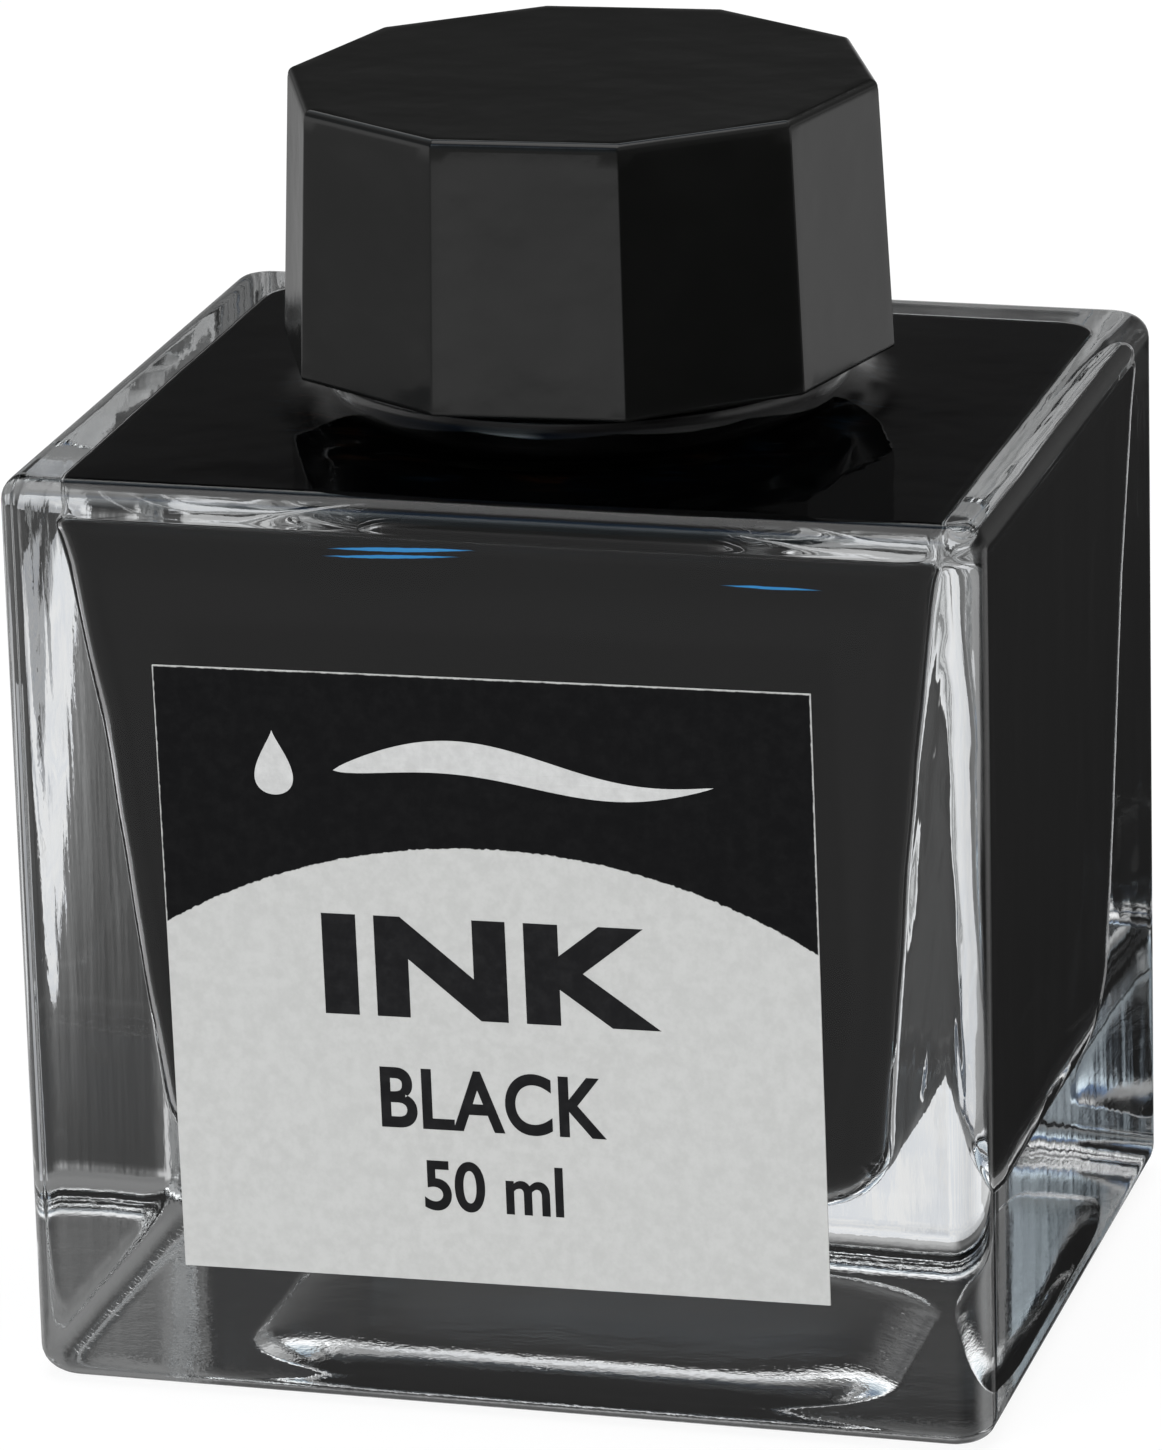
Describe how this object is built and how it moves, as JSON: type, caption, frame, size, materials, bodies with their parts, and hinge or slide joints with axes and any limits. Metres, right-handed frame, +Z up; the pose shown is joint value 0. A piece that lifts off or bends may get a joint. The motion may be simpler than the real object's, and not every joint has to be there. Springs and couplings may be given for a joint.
{
  "type": "ink bottle",
  "caption": "Square clear-glass ink bottle with a heavy base, black ink inside, a paper front label and a faceted black screw cap that unscrews and lifts off.",
  "frame": {"origin": "centre of the foot, on the surface the bottle stands on", "axes": "+Z up along the neck; the label faces -Y; +X to the label's right"},
  "size_m": [0.052, 0.0435, 0.0671],
  "materials": {
    "clear_glass": "polished",
    "black_ink": "liquid",
    "label_paper": "matt printed",
    "cap_plastic": "glossy moulded",
    "liner_foam": "soft foam"
  },
  "bodies": {
    "bottle": {"glass_bottle": "clear_glass", "ink": "black_ink", "front_label": "label_paper"},
    "seal": {"cap_liner": "liner_foam"},
    "lid": {"cap": "cap_plastic"}
  },
  "joints": [
    {"name": "cap_rise", "type": "slide", "parent": "bottle", "child": "seal", "axis": [0, 0, 1], "range_m": [0, 0.0128]},
    {"name": "cap_turn", "type": "hinge", "parent": "seal", "child": "lid", "pos_m": [0, 0, 0.06], "axis": [0, 0, 1], "range_deg": [0, 1080]}
  ],
  "couplings": [
    {"joint": "cap_rise", "follows": "cap_turn", "m_per_rad": 0.00067376}
  ]
}
